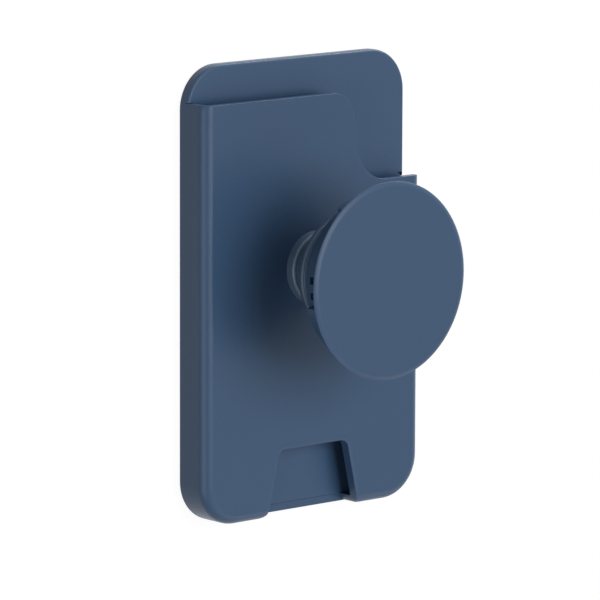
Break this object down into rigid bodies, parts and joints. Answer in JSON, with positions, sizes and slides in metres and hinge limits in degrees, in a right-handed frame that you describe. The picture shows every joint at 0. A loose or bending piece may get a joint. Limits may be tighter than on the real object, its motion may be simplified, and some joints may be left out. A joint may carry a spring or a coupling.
{
  "type": "magnetic phone wallet",
  "caption": "Flat magnetic card wallet with a thumb window, a push-out notch and a round pop-out grip on a soft bellows.",
  "frame": {"origin": "centre of the back face, in the plane that the wallet lies on", "axes": "+Z out of the front along the grip's axis, +Y towards the open card mouth, +X towards the thumb window's side"},
  "size_m": [0.0592, 0.0952, 0.0323],
  "materials": {
    "shell": "matte moulded polycarbonate, slate blue",
    "plate": "matte moulded polycarbonate, slate blue",
    "bellows": "soft moulded elastomer, slate blue",
    "pad": "soft silicone sheet, dark slate blue",
    "spring_steel": "rolled spring steel",
    "magnet": "nickel plate"
  },
  "bodies": {
    "wallet": {"back_pad": "pad", "magnet_cover": "plate", "magnet_01": "magnet", "magnet_02": "magnet", "magnet_03": "magnet", "magnet_04": "magnet", "magnet_05": "magnet", "magnet_06": "magnet", "magnet_07": "magnet", "magnet_08": "magnet", "magnet_09": "magnet", "magnet_10": "magnet", "magnet_11": "magnet", "magnet_12": "magnet", "magnet_13": "magnet", "magnet_14": "magnet", "magnet_15": "magnet", "magnet_16": "magnet", "magnet_17": "magnet", "magnet_18": "magnet", "alignment_magnet": "magnet", "shield_plate": "spring_steel", "back_plate": "plate", "front_shell": "shell", "card_spring_left": "spring_steel", "card_spring_right": "spring_steel", "grip_hub": "shell", "bellows": "bellows"},
    "grip_carrier": {"top_carrier": "shell"},
    "grip_top": {"grip_top": "shell"}
  },
  "joints": [
    {"name": "grip_slide", "type": "slide", "parent": "wallet", "child": "grip_carrier", "axis": [0, 0, 1], "range_m": [-0.015, 0], "deforming": ["bellows"]},
    {"name": "grip_twist", "type": "hinge", "parent": "grip_carrier", "child": "grip_top", "pos_m": [0, 0.00425, 0.0265], "axis": [0, 0, 1], "range_deg": [0, 90]}
  ]
}
